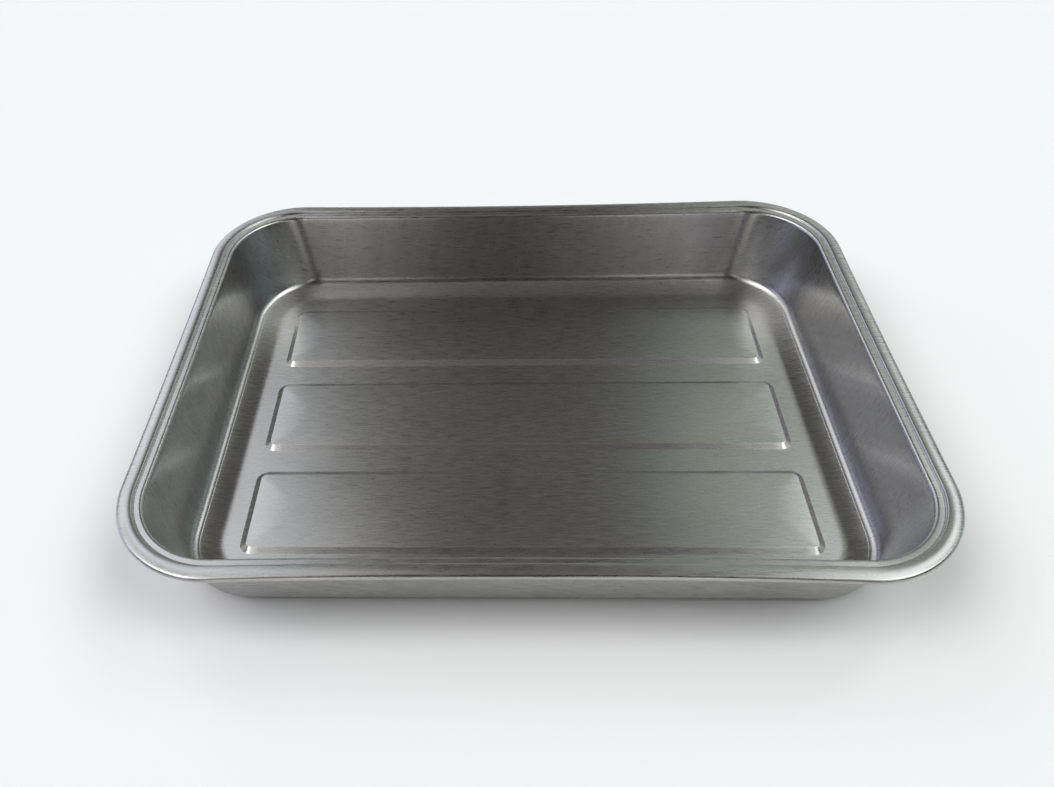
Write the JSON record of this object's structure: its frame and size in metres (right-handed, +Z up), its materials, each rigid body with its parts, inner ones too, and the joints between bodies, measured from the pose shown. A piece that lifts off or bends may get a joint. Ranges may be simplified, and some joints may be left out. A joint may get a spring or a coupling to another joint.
{
  "type": "pressed steel tray",
  "caption": "Shallow rectangular pressed stainless steel tray with tapered walls, a stepped curled rim and raised panels across its floor.",
  "frame": {"origin": "centre of the tray on the surface it stands on", "axes": "+X along the long side, +Y along the short side, +Z up out of the open top"},
  "size_m": [0.36, 0.27, 0.048],
  "materials": {
    "stainless_steel": "fine brushed, satin"
  },
  "bodies": {
    "root": {"tray_pan": "stainless_steel"}
  },
  "joints": []
}
